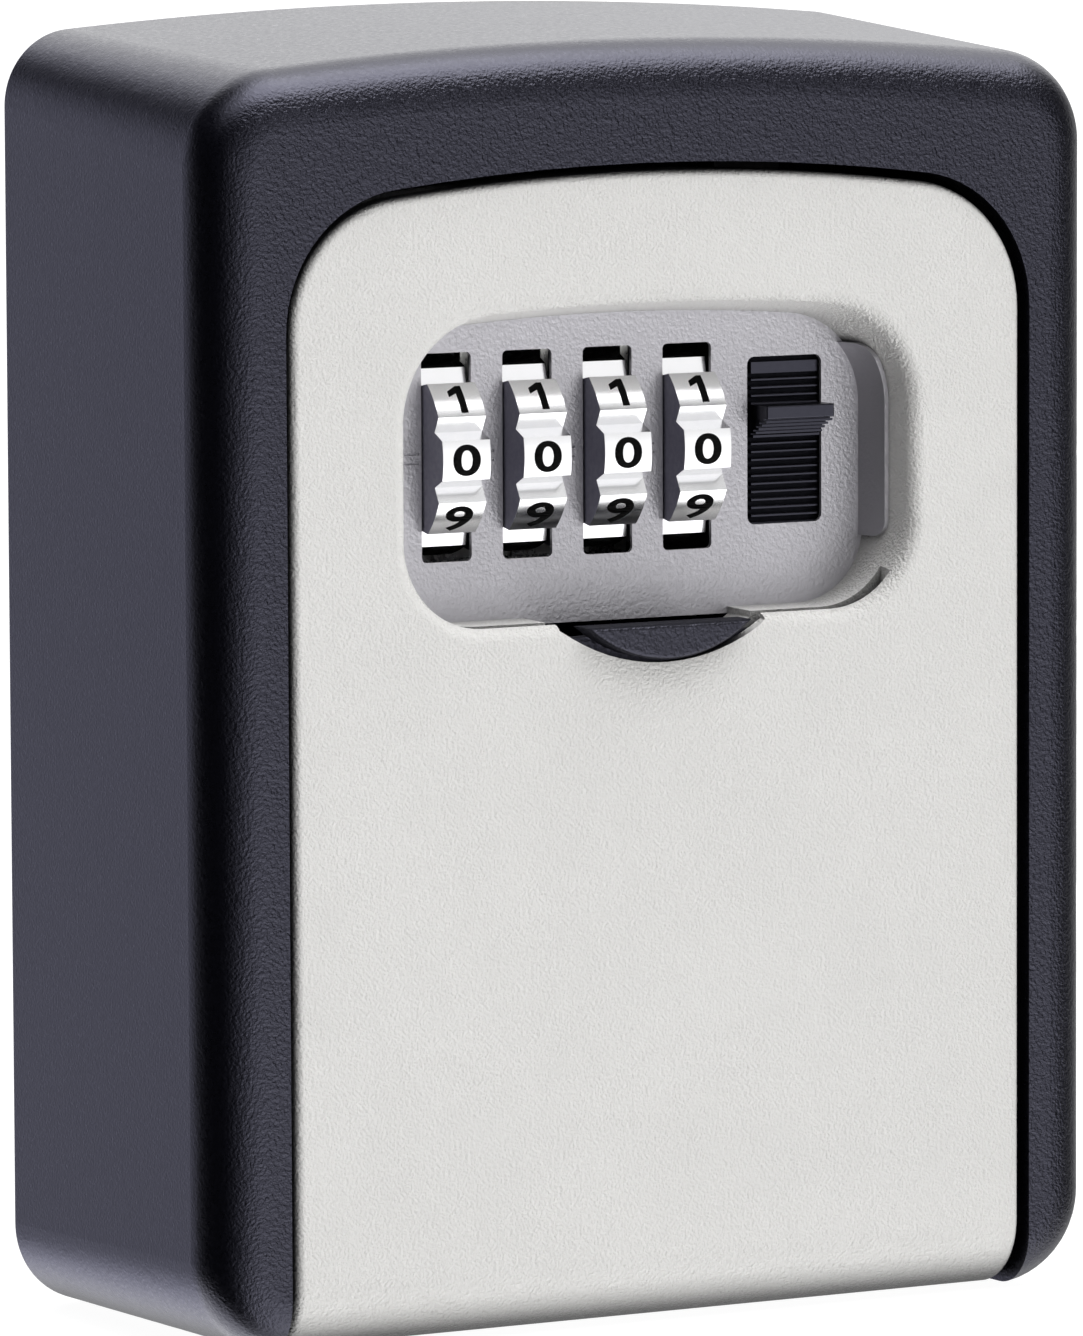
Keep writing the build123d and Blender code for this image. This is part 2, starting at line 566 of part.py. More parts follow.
# ---------------------------------------------------------------- latch
def make_latch_slide():
    body = blk(-24.0, 22.0, BAR_FRONT, BAR_BACK, BAR_BOTTOM, BAR_TOP)
    body -= blk(-24.5, 12.5, BAR_FRONT - 1, BAR_FRONT + 0.4, BAR_BOTTOM - 1, BAR_BOTTOM + 1.2)
    for x in BOLT_X:
        bolt = blk(x - BOLT_W / 2, x + BOLT_W / 2, BAR_FRONT, BAR_FRONT + BOLT_T, BAR_TOP - 0.5, BOLT_TOP)
        bolt = chamfer(bolt.edges().filter_by(Axis.X).group_by(Axis.Z)[-1], 0.8)
        body += bolt
    body += blk(LEVER_X - 4.0, LEVER_X + 4.0, -30.9, -28.7, 11.9, BAR_BOTTOM + 0.5)
    body += blk(LEVER_X - 4.0, LEVER_X + 4.0, -30.9, -25.6, 11.9, 13.2)
    return body


def make_fence():
    body = blk(-24.4, 4.0, BAR_BACK, BAR_BACK + 0.9, BAR_BOTTOM, BAR_TOP)
    for x in DIAL_X:
        disc_r = x - DIAL_HALF_T - FORK_GAP - FORK_T - 0.1
        x1 = disc_r - 0.1
        x0 = x1 - PRONG_T
        y, w = DIAL_Y, PRONG_W / 2
        pts = [(y - w, PRONG_TIP_Z), (y + w, PRONG_TIP_Z), (y + w, PRONG_TIP_Z + 4.0),
               (BAR_BACK + 0.9, BAR_BOTTOM - 0.2), (BAR_BACK + 0.9, BAR_BOTTOM), (y - w, BAR_BOTTOM)]
        body += side_prism(make_face(Polyline(*pts, close=True)), x0, x1)
    return body


PAD_X = LEVER_X + 0.3
PAD_FACE = PLATE_Y + 0.5
PAD_HALF_W = 3.55
PAD_BACK = -30.9
PAD_TOP = 27.4
PAD_BOTTOM = 12.0
FLANGE_TOP = 31.9
FLANGE_HALF_W = 4.3
RIB_PITCH = 0.74
RIB_H = 0.3
RIB_DEPTH = 0.65
TOP_BLOCK_H = 1.05
BAR_FACE = -36.1
BAR_HALF_W = 3.6
THUMB_TOP = 23.5
THUMB_T = 1.2
RAMP_STEPS = 5
RAMP_PITCH = 0.37


def make_thumb():
    """Black thumb slider: ribbed pad behind the lever window with a proud ledge on a stepped ramp."""
    flange_front = PLATE_BACK + 0.15
    body = blk(LEVER_X - FLANGE_HALF_W, LEVER_X + FLANGE_HALF_W, flange_front, PAD_BACK, PAD_BOTTOM, FLANGE_TOP)
    left, right = PAD_X - PAD_HALF_W, PAD_X + PAD_HALF_W
    body += blk(left, right, PAD_FACE + RIB_DEPTH, PAD_BACK, PAD_BOTTOM, PAD_TOP)
    body += blk(left, right, PAD_FACE, PAD_FACE + RIB_DEPTH + 0.1, PAD_TOP - TOP_BLOCK_H, PAD_TOP)
    ribs = int((PAD_TOP - TOP_BLOCK_H - PAD_BOTTOM) / RIB_PITCH)
    for i in range(1, ribs + 1):
        top = PAD_TOP - TOP_BLOCK_H - i * RIB_PITCH + RIB_H
        rib = blk(left, right, PAD_FACE, PAD_FACE + RIB_DEPTH + 0.1, top - RIB_H, top)
        body += chamfer(rib.edges().filter_by(Axis.X).group_by(Axis.Y)[0], 0.08)
    ledge_bottom = THUMB_TOP - THUMB_T
    ledge = blk(PAD_X - BAR_HALF_W, PAD_X + BAR_HALF_W, BAR_FACE, PAD_FACE + 0.5, ledge_bottom, THUMB_TOP)
    body += fillet(ledge.edges().group_by(Axis.Y)[0], 0.12)
    # thin steps that fall back from the ledge to the pad, with a deeper gap above each
    reach = PAD_FACE - BAR_FACE
    for i in range(RAMP_STEPS):
        front = BAR_FACE + 0.25 + reach * 0.95 * (i / RAMP_STEPS) ** 0.8
        top = ledge_bottom - i * RAMP_PITCH
        body += blk(left, right, front + 0.45, PAD_FACE + RIB_DEPTH + 0.1, top - RAMP_PITCH, top)
        body += blk(left, right, front, front + 0.5, top - RAMP_PITCH, top - 0.16)
    return body


def make_slider_spring():
    z0 = FRAME_BOTTOM + FRAME_WALL
    spring = coil(1.9, 0.3, 1.2, 11.9 - z0 - 0.7)
    return Pos(LEVER_X, -28.4, z0 + 0.35) * spring


# ---------------------------------------------------------------- shutter
def make_shutter():
    y_front = DOOR_Y + SHUTTER_FRONT_T
    y_back = y_front + SHUTTER_T
    top_2d = Pos(0, -SHUTTER_TRAVEL) * recess_outline(-0.9)
    low_h = 20.0
    low = Pos(0, SHUTTER_BOTTOM + low_h / 2) * Rectangle(2 * SHUTTER_HALF_W, low_h)
    body = prism(top_2d, y_back, y_front) + prism(low, y_back, y_front)
    lens_2d = Pos(0, LENS_BOTTOM + LENS_R) * Circle(LENS_R)
    lens_2d &= Pos(0, LENS_TOP - 10) * Rectangle(60, 20)
    lens = prism(lens_2d, y_front + 0.2, DOOR_Y - LENS_PROUD)
    face = lens.faces().sort_by(Axis.Y)[0]
    lens = fillet(face.edges(), 0.4)
    return body + lens


def make_retainer():
    y0 = DOOR_Y + SHUTTER_FRONT_T + SHUTTER_T + 0.2
    body = blk(-30.5, 30.5, y0, y0 + 0.8, POCKET_BOTTOM - 1.5, 0.6)
    # stiffening beads
    for z in (-26.0, -13.0):
        body += blk(-20.0, 20.0, y0 + 0.8, y0 + 1.5, z - 1.2, z + 1.2)
    for s in (-1, 1):
        for z in (-34.0, -4.0):
            body -= rod_y(0.9, y0 - 1, y0 + 3, s * 28.0, z)
    return body


# ---------------------------------------------------------------- screws
def make_frame_screws():
    out = Part()
    for s in (-1, 1):
        for z in EAR_Z:
            out += screw_y(s * EAR_X, z, PLATE_BACK + 2.0, DOOR_Y + DOOR_SKIN + 1.2)
    return out


def make_cover_screws():
    out = Part()
    for x, z in cover_screw_spots():
        out += screw_y(x, z, FRAME_BACK + COVER_T, FRAME_BACK - 5.5, r=0.8, head_r=1.6, head_h=1.0)
    return out


def make_retainer_screws():
    out = Part()
    y0 = DOOR_Y + SHUTTER_FRONT_T + SHUTTER_T + 0.2
    for s in (-1, 1):
        for z in (-34.0, -4.0):
            out += screw_y(s * 28.0, z, y0 + 0.8, DOOR_Y + DOOR_SKIN - 0.2, r=0.8, head_r=1.6, head_h=0.9)
    return out


nodes = {
    "case_shell": make_case(),
    "hinge_pins": make_hinge_pins(),
    "door_shell": make_door(),
    "dial_plate": make_dial_plate(),
    "lock_frame": make_lock_frame(),
    "dial_spindle": make_spindle(),
    "spindle_clips": make_clips(),
    "detent_spring": make_detent(),
    "lock_cover": make_cover(),
    "cover_screws": make_cover_screws(),
    "frame_screws": make_frame_screws(),
    "shutter_retainer": make_retainer(),
    "retainer_screws": make_retainer_screws(),
    "slider_spring": make_slider_spring(),
    "sleeve_springs": make_sleeve_springs(),
    "latch_slide": make_latch_slide(),
    "fence_comb": make_fence(),
    "thumb_slider": make_thumb(),
    "shutter": make_shutter(),
    "reset_slide": make_reset(),
}
for number, dial_x in enumerate(DIAL_X, start=1):
    nodes[f"dial_{number}"] = make_dial(dial_x)
    nodes[f"cam_sleeve_{number}"] = make_sleeve(dial_x)

for name, shape in nodes.items():
    export_step(shape, f"parts/{name}.step")
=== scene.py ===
import math
import bmesh
import bpy
from mathutils import Matrix, Vector


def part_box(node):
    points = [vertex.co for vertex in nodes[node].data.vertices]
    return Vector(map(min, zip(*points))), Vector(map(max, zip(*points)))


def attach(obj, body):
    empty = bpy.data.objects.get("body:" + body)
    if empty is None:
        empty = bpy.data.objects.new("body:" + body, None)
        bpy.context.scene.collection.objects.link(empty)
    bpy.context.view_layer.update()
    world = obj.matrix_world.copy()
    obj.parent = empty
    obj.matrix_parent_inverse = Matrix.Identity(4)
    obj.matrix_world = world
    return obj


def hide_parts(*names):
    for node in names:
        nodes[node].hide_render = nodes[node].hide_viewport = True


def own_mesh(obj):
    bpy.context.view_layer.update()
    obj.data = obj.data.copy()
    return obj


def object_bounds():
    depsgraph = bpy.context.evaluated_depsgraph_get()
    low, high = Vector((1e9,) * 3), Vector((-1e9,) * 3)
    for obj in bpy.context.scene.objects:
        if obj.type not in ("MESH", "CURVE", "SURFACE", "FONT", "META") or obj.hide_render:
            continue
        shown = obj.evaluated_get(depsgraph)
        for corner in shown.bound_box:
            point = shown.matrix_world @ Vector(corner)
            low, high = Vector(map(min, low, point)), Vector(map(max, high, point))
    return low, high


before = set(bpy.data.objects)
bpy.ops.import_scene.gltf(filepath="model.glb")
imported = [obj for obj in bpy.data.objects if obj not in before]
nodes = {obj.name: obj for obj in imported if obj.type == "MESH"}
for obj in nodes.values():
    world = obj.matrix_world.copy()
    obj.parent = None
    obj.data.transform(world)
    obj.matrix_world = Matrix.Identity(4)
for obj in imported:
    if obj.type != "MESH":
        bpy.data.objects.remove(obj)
cad_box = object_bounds()
MM = 0.001
WHITE = (1, 1, 1, 1)


# ------------------------------------------------------------------ node trees
MIX_COLOURS = (6, 7)        # a Mix node's sockets for its two colours, and its colour output
MIX_RESULT = 2


def grey(value):
    return (value, value, value)


def shade(colour, share):
    return tuple(c * share for c in colour)


def rgba(colour):
    return (*colour, 1)


class Nodes:
    """A node tree with small helpers. Their values are plain ones or the outputs of other nodes."""

    def __init__(self, tree):
        self.t = tree

    def node(self, kind, **settings):
        n = self.t.nodes.new(kind)
        for key, value in settings.items():
            setattr(n, key, value)
        return n

    def feed(self, socket, value):
        if hasattr(value, "is_output"):
            self.t.links.new(value, socket)
        else:
            socket.default_value = value

    def math(self, op, *values):
        n = self.node("ShaderNodeMath", operation=op)
        for socket, value in zip(n.inputs, values):
            self.feed(socket, value)
        return n.outputs[0]

    def axis(self, vector, name):
        n = self.node("ShaderNodeSeparateXYZ")
        self.feed(n.inputs[0], vector)
        return n.outputs[name]

    def ramp(self, fac, stops):
        """Colours joined by straight lines: stops are pairs of position and colour."""
        n = self.node("ShaderNodeValToRGB")
        elements = n.color_ramp.elements
        while len(elements) < len(stops):
            elements.new(0.5)
        for element, (at, colour) in zip(elements, stops):
            element.position = at
            element.color = rgba(colour)
        self.feed(n.inputs["Fac"], fac)
        return n.outputs["Color"]

    def mix(self, fac, a, b):
        """Colour a where fac is 0, colour b where it is 1."""
        n = self.node("ShaderNodeMix", data_type="RGBA")
        self.feed(n.inputs[0], fac)
        for i, colour in zip(MIX_COLOURS, (a, b)):
            self.feed(n.inputs[i], colour)
        return n.outputs[MIX_RESULT]


# ------------------------------------------------------------------ materials
NOISE_LO, NOISE_HI = 0.3, 0.7       # nearly all values of a noise lie between these


class Mat(Nodes):
    """A node material; sizes and distances are in millimetres of the object."""

    def __init__(self, name, **values):
        self.m = bpy.data.materials.new(name)
        self.m.use_nodes = True
        super().__init__(self.m.node_tree)
        self.bsdf = self.t.nodes["Principled BSDF"]
        for key, value in values.items():
            self.bsdf.inputs[key.replace("_", " ")].default_value = value
        self.coord = self.node("ShaderNodeTexCoord")

    def noise(self, size, detail=2.0):
        n = self.node("ShaderNodeTexNoise")
        n.inputs["Scale"].default_value = 1.0 / (size * MM)
        n.inputs["Detail"].default_value = detail
        self.feed(n.inputs["Vector"], self.coord.outputs["Object"])
        return n.outputs["Fac"]

    def voronoi(self, size):
        n = self.node("ShaderNodeTexVoronoi", feature="SMOOTH_F1")
        n.inputs["Scale"].default_value = 1.0 / (size * MM)
        n.inputs["Smoothness"].default_value = 1.0
        self.feed(n.inputs["Vector"], self.coord.outputs["Object"])
        return n.outputs["Distance"]

    def value_range(self, value, lo, hi, out_lo, out_hi):
        n = self.node("ShaderNodeMapRange")
        for key, number in zip(("From Min", "From Max", "To Min", "To Max"), (lo, hi, out_lo, out_hi)):
            n.inputs[key].default_value = number
        self.feed(n.inputs["Value"], value)
        return n.outputs["Result"]

    def spread(self, noise, lo, hi):
        """A noise as a number that varies from lo to hi."""
        return self.value_range(noise, NOISE_LO, NOISE_HI, lo, hi)

    def mottle(self, noise, dark, light, lo=NOISE_LO, hi=NOISE_HI):
        """A noise as a colour that varies from dark to light."""
        return self.ramp(noise, [(lo, dark), (hi, light)])

    def facing(self, axis, lo, hi):
        """0 to 1 as the surface turns from lo to hi along one axis of the object, either way."""
        along = self.math("ABSOLUTE", self.axis(self.coord.outputs["Normal"], axis))
        return self.value_range(along, lo, hi, 0.0, 1.0)

    def colour(self, source):
        self.feed(self.bsdf.inputs["Base Color"], source)

    def rough(self, source):
        self.feed(self.bsdf.inputs["Roughness"], source)

    def bump(self, height, strength, distance):
        n = self.node("ShaderNodeBump")
        self.feed(n.inputs["Strength"], strength)
        n.inputs["Distance"].default_value = distance * MM
        self.feed(n.inputs["Height"], height)
        self.feed(self.bsdf.inputs["Normal"], n.outputs["Normal"])


COAT_PATCH = 9.0            # size of the soft patches in a coat's colour
FRONT = (0.7, 0.97)         # a coat counts as facing the front from the first to the second
# painted shade: how much of the paint's colour shows, by the share of the surroundings that is open, so that
# seams and hollows are painted darker
PAINTED_SHADE_SHARE = [(0.1, 0.0), (0.3, 0.2), (0.5, 0.5), (0.7, 0.74), (0.85, 0.92), (0.95, 1.0)]
PAINTED_SHADE_DARK = 0.02          # the paint's brightness in the depth of a seam
PAINTED_SHADE_SAMPLES = 8


def powder_coat(name, base, grain, depth, rough, strength, spread=0.06, sides=1.0, painted_shade_reach=0.0, **values):
    """Fine leather-like powder coat: small pebbles in the height and a slight mottling in the colour.
    sides is the strength of the grain, as a share, on faces that don't look to the front. The argument after
    sides is the reach of a painted shade, which darkens the colour in seams and hollows where shade falls."""
    m = Mat(name, Roughness=rough, **values)
    paint = m.mottle(m.noise(COAT_PATCH, 3.0), shade(base, 1 - spread), shade(base, 1 + spread), 0.35, 0.65)
    # painted shade: an ambient occlusion darkens the paint's colour in seams and hollows
    if painted_shade_reach:
        open_air = m.node("ShaderNodeAmbientOcclusion", samples=PAINTED_SHADE_SAMPLES)
        open_air.inputs["Distance"].default_value = painted_shade_reach * MM
        share = m.ramp(open_air.outputs["AO"], [(at, grey(v)) for at, v in PAINTED_SHADE_SHARE])
        paint = m.mix(share, rgba(shade(base, PAINTED_SHADE_DARK)), paint)
    m.colour(paint)
    m.rough(m.spread(m.noise(grain * 1.5), rough - 0.04, rough + 0.06))
    pebbles = m.math("ADD", m.noise(grain), m.math("MULTIPLY", m.voronoi(grain * 1.8), 0.2))
    if sides != 1.0:
        strength = m.value_range(m.facing("Y", *FRONT), 0.0, 1.0, strength * sides, strength)
    m.bump(pebbles, strength, depth)
    return m.m


def bare_zinc(base, rough=0.42):
    m = Mat("raw_zinc", Roughness=rough, Metallic=1.0)
    m.colour(m.mottle(m.noise(2.5, 4.0), shade(base, 0.82), base))
    m.rough(m.spread(m.noise(1.2, 3.0), rough - 0.08, rough + 0.12))
    m.bump(m.noise(0.5, 3.0), 0.25, 0.03)
    return m.m


def plated_steel(name, base, rough):
    m = Mat(name, Roughness=rough, Metallic=1.0)
    m.colour(m.mottle(m.noise(0.8, 3.0), shade(base, 0.85), base, hi=0.75))
    m.rough(m.spread(m.noise(0.35), rough - 0.06, rough + 0.1))
    m.bump(m.noise(0.25), 0.15, 0.01)
    return m.m


def moulded(name, base, rough, grain, strength=0.25, **values):
    m = Mat(name, Roughness=rough, **values)
    m.colour(m.mottle(m.noise(grain * 3, 3.0), shade(base, 0.85), shade(base, 1.15)))
    m.rough(m.spread(m.noise(grain * 2), rough - 0.06, rough + 0.08))
    m.bump(m.noise(grain), strength, 0.02)
    return m.m


def dial_metal():
    """Bright satin number faces and grooves; the flanks are painted darker, a painted shade standing in for
    the dark surroundings they reflect.
    """
    m = Mat("dial_metal", Roughness=0.22, Metallic=1.0)
    shaded_flank_mask = m.facing("X", 0.6, 0.8)
    polish = m.noise(1.2)
    face = m.mottle(polish, (0.85, 0.85, 0.865), (0.88, 0.88, 0.89))
    # painted shade: the flanks get a dark colour in place of the dark surroundings they reflect
    flank_shade_colour = m.mottle(m.noise(0.5, 3.0), (0.29, 0.285, 0.35), (0.35, 0.345, 0.41))
    m.colour(m.mix(shaded_flank_mask, face, flank_shade_colour))
    m.rough(m.math("ADD", m.spread(polish, 0.2, 0.24), m.math("MULTIPLY", shaded_flank_mask, 0.3)))
    m.bump(m.noise(0.3), 0.02, 0.01)
    return m.m


def lens_plastic(face, body):
    """Moulded shutter: a light-grained grey face, and matt sides painted near-black as painted shade."""
    m = Mat("shutter_plastic", Roughness=0.35, Specular_Tint=COOL, IOR=1.56)
    front = m.facing("Y", 0.7, 0.85)
    # painted shade: faces that don't look to the front get the near-black second colour
    m.colour(m.mix(front, rgba(body), m.mottle(m.noise(1.5, 3.0), shade(face, 0.92), shade(face, 1.08))))
    base_rough = m.value_range(front, 0.0, 1.0, 0.85, 0.33)
    m.rough(m.math("ADD", base_rough, m.spread(m.noise(0.8), -0.03, 0.04)))
    m.bump(m.noise(0.36), 1.0, 0.14)
    return m.m


def pad_plastic(face_y):
    """Moulded black: satin in front of face_y (metres), dead matt behind it, and painted darker there as
    painted shade in the grooves.
    """
    m = Mat("lever_plastic", Roughness=0.4, Specular_Tint=COOL, IOR=1.62)
    y = m.axis(m.coord.outputs["Object"], "Y")
    groove_shade_mask = m.value_range(y, face_y, face_y + 0.2 * MM, 0.0, 1.0)
    satin = m.mottle(m.noise(0.7, 3.0), (0.0026, 0.0026, 0.003), (0.0036, 0.0036, 0.0042))
    # painted shade: behind face_y the colour is darker still, for the shade in the grooves between the ribs
    m.colour(m.mix(groove_shade_mask, satin, rgba((0.0012, 0.0012, 0.0014))))
    base_rough = m.value_range(groove_shade_mask, 0.0, 1.0, 0.32, 0.92)
    m.rough(m.math("ADD", base_rough, m.spread(m.noise(0.5), -0.04, 0.05)))
    m.bump(m.noise(0.25), 0.3, 0.02)
    return m.m


CASE = (0.003, 0.003, 0.006)
DOOR = (0.945, 0.935, 0.915)
PLATE = (0.53, 0.52, 0.555)
COOL = (0.76, 0.76, 1.0, 1.0)       # tint of the sheen on dark paint and plastic
PAD_FACE = -0.0330                  # the lever's face, in metres from the wall
look = {
    "case": powder_coat("case_paint", CASE, grain=0.28, depth=0.13, rough=0.3, strength=1.0, sides=0.3,
                        Specular_Tint=COOL, IOR=1.62),
    # the door's paint gets a painted shade in its recess and seams, reaching 5 mm
    "door": powder_coat("door_paint", DOOR, grain=0.29, depth=0.28, rough=0.5, strength=0.7, spread=0.012,
                        sides=1.4, painted_shade_reach=5.0),
    "plate": powder_coat("plate_paint", PLATE, grain=0.34, depth=0.07, rough=0.42, strength=1.0,
                         spread=0.03, Metallic=0.6),
    "dial": dial_metal(),
    "digit": moulded("digit_paint", grey(0.0015), rough=0.7, grain=0.12, strength=0.1,
                     Specular_IOR_Level=0.12),
    "black": moulded("black_plastic", (0.003, 0.003, 0.0035), rough=0.5, grain=0.22),
    "pad": pad_plastic(PAD_FACE + 0.3 * MM),
    # the shutter's second colour is the painted shade of its sides
    "shutter": lens_plastic((0.014, 0.014, 0.018), (0.002, 0.002, 0.0022)),
    "dark_steel": plated_steel("blackened_steel", (0.02, 0.02, 0.021), 0.5),
    "zinc": bare_zinc((0.62, 0.62, 0.64)),
    "steel": plated_steel("plated_steel", (0.62, 0.62, 0.60), 0.3),
    "spring": plated_steel("spring_steel", (0.50, 0.50, 0.52), 0.25),
    "brass": plated_steel("brass", (0.78, 0.60, 0.30), 0.28),
}
finish_of = {
    "case_shell": "case", "door_shell": "door", "dial_plate": "plate", "hinge_pins": "steel",
    "lock_frame": "black", "dial_spindle": "steel", "spindle_clips": "steel", "detent_spring": "spring",
    "lock_cover": "zinc", "cover_screws": "steel", "frame_screws": "steel", "shutter_retainer": "zinc",
    "retainer_screws": "steel", "slider_spring": "spring", "sleeve_springs": "spring",
    "latch_slide": "dark_steel", "fence_comb": "steel", "thumb_slider": "pad", "shutter": "shutter",
    "reset_slide": "steel",
}
dial_nodes = sorted(n for n in nodes if n.startswith("dial_") and n[5:].isdigit())
finish_of.update({n: "dial" for n in dial_nodes})
finish_of.update({n: "brass" for n in nodes if n.startswith("cam_sleeve_")})
for name, obj in nodes.items():
    obj.data.materials.clear()
    obj.data.materials.append(look[finish_of[name]])


# ------------------------------------------------------------------ digits on the number wheels
DIGITS = 10
DIGIT_H = 2.87 * MM
DIGIT_W = 2.83 * MM
DIGIT_WEIGHT = 0.022        # how much the strokes are thickened, as a share of the letter height
DIGIT_STRIPS = 14           # flat strips that follow the wheel's roundness
DIGIT_CURVE = 8             # points along each curved stretch of a digit's outline
PAINT_T = 0.02 * MM
WELD = 1e-7
# a one with a plain flag, in units of its height
ONE = [(0.04, -0.5), (0.29, -0.5), (0.29, 0.5), (0.10, 0.5), (-0.24, 0.30), (-0.24, 0.08), (0.04, 0.21)]


def digit_outline(ch):
    """One bold digit as a flat mesh, about one unit tall, in its own XY plane."""
    bm = bmesh.new()
    if ch == "1":
        bm.faces.new([bm.verts.new((x, y, 0)) for x, y in ONE])
        bm.normal_update()
        bmesh.ops.triangulate(bm, faces=bm.faces[:])
        return bm
    curve = bpy.data.curves.new("digit", "FONT")
    curve.body = ch
    curve.offset = DIGIT_WEIGHT
    curve.resolution_u = DIGIT_CURVE
    ob = bpy.data.objects.new("digit", curve)
    bpy.context.scene.collection.objects.link(ob)
    bpy.context.view_layer.update()
    flat = bpy.data.meshes.new_from_object(ob.evaluated_get(bpy.context.evaluated_depsgraph_get()))
    bpy.data.objects.remove(ob)
    bm.from_mesh(flat)
    bpy.data.meshes.remove(flat)
    return bm


def digit_mesh(ch, radius):
    """A digit wrapped on a round number face: bent about X, with its paint's small thickness."""
    bm = digit_outline(ch)
    xs = [v.co.x for v in bm.verts]
    ys = [v.co.y for v in bm.verts]
    scale_x = DIGIT_H if ch == "1" else DIGIT_W / (max(xs) - min(xs))
    height = max(ys) - min(ys)
    mid_x, mid_y = (max(xs) + min(xs)) / 2, (max(ys) + min(ys)) / 2
    for v in bm.verts:
        v.co = ((v.co.x - mid_x) * scale_x, (v.co.y - mid_y) * DIGIT_H / height, 0)
    for i in range(1, DIGIT_STRIPS):
        y = DIGIT_H * (i / DIGIT_STRIPS - 0.5)
        bmesh.ops.bisect_plane(bm, geom=bm.verts[:] + bm.edges[:] + bm.faces[:],
                               plane_co=(0, y, 0), plane_no=(0, 1, 0))
    bmesh.ops.remove_doubles(bm, verts=bm.verts[:], dist=WELD)
    top = bmesh.ops.extrude_face_region(bm, geom=bm.faces[:])
    raised = {v for v in top["geom"] if isinstance(v, bmesh.types.BMVert)}
    for v in bm.verts:
        r = radius + (PAINT_T if v in raised else -PAINT_T)
        turn = v.co.y / radius
        v.co = (v.co.x, -r * math.cos(turn), r * math.sin(turn))
    bmesh.ops.recalc_face_normals(bm, faces=bm.faces[:])
    return bm


def add_digits(node):
    """Ten painted digits round one wheel, 0 at the front and counting up over the top."""
    lo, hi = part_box(node)
    radius = (hi.y - lo.y) / 2
    to_wheel = Matrix.Translation((lo + hi) / 2)
    whole = bmesh.new()
    for k in range(DIGITS):
        bm = digit_mesh(str(k), radius)
        bm.transform(to_wheel @ Matrix.Rotation(-math.radians(360 / DIGITS * k), 4, "X"))
        one = bpy.data.meshes.new("part")
        bm.to_mesh(one)
        bm.free()
        whole.from_mesh(one)
        bpy.data.meshes.remove(one)
    mesh = bpy.data.meshes.new("digits_" + node)
    whole.to_mesh(mesh)
    whole.free()
    mesh.materials.append(look["digit"])
    ob = bpy.data.objects.new(mesh.name, mesh)
    bpy.context.scene.collection.objects.link(ob)
    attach(ob, node)


for n in dial_nodes:
    add_digits(n)


# ------------------------------------------------------------------ springs split into their coils
COIL_GAP = 2 * MM           # coils further apart than this are separate springs


def pressed_springs(node, along):
    """The coils of a CAD node as pieces of their own, split where they lie apart along an axis (0 to 2) and
    carried by the door."""
    src = nodes[node]
    place = [src.matrix_world @ v.co for v in src.data.vertices]
    order = sorted(range(len(place)), key=lambda i: place[i][along])
    groups = [[order[0]]]
    for a, b in zip(order, order[1:]):
        if place[b][along] - place[a][along] > COIL_GAP:
            groups.append([])
        groups[-1].append(b)
    for k, group in enumerate(groups):
        mine = set(group)
        bm = bmesh.new()
        bm.from_mesh(src.data)
        bm.transform(src.matrix_world)
        bmesh.ops.delete(bm, geom=[v for v in bm.verts if v.index not in mine], context="VERTS")
        mesh = bpy.data.meshes.new(f"{node}_coil_{k + 1}")
        bm.to_mesh(mesh)
        bm.free()
        mesh.materials.clear()
        mesh.materials.append(look["spring"])
        ob = bpy.data.objects.new(mesh.name, mesh)
        bpy.context.scene.collection.objects.link(ob)
        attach(ob, "door")
        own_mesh(ob)
        if k == 0:
            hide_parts(node)


pressed_springs("slider_spring", along=2)
pressed_springs("sleeve_springs", along=0)

# ------------------------------------------------------------------ floor
FLOOR_SIZE = 6
FLOOR_CLEAR = 0.1 * MM      # below the case, so that the two don't share a plane
FLOOR_GLOW = 0.96
bpy.ops.mesh.primitive_plane_add(size=FLOOR_SIZE, location=(0, 0.5, cad_box[0][2] - FLOOR_CLEAR))
floor = bpy.context.object
floor.name = "floor"
floor.visible_glossy = False
floor.visible_diffuse = False
floor_mat = Mat("floor_paper", Roughness=0.85, Emission_Color=WHITE, Emission_Strength=FLOOR_GLOW)
floor_mat.colour(floor_mat.mottle(floor_mat.noise(60.0), grey(0.14), grey(0.16)))
floor.data.materials.append(floor_mat.m)


# ------------------------------------------------------------------ light
# A light tent: bright paper behind and in front, brightest 30 degrees right of the front, dark to both sides,
# and soft lamps overhead and below. Angles are in degrees; azimuth 0 is the front, 90 the right side.
# The tent's strength goes all round by azimuth, and fades between the two elevations of HORIZON_FADE.
HORIZON = [(-180, 0.88), (-165, 0.76), (-151, 0.71), (-141, 0.53), (-131, 0.27), (-121, 0.11), (-108, 0.01),
           (-52, 0.01), (-31, 0.24), (-11, 0.8), (0, 1.04), (10, 1.26), (30, 1.34), (42, 1.0), (52, 0.1),
           (62, 0.02), (76, 0.05), (92, 0.15), (119, 0.55), (140, 0.48), (155, 0.42), (180, 0.88)]
HORIZON_FADE = (6, 28)
# azimuth, elevation, full within, gone beyond, strength
LAMPS = [(60, 72, 12, 34, 4.8), (-60, 68, 6, 26, 1.5), (150, 40, 18, 42, 1.6), (100, 50, 8, 28, 0.5),
         (30, -45, 12, 40, 1.2), (90, -50, 12, 40, 0.8), (-150, -55, 15, 42, 2.2)]
FILL = 0.006
COOL_SIDE = (-165, 0, 20, 42)       # the paper behind on the left is bluish: azimuth, elevation, full, gone
COOL_PAPER = (0.81, 0.81, 1.0, 1.0)


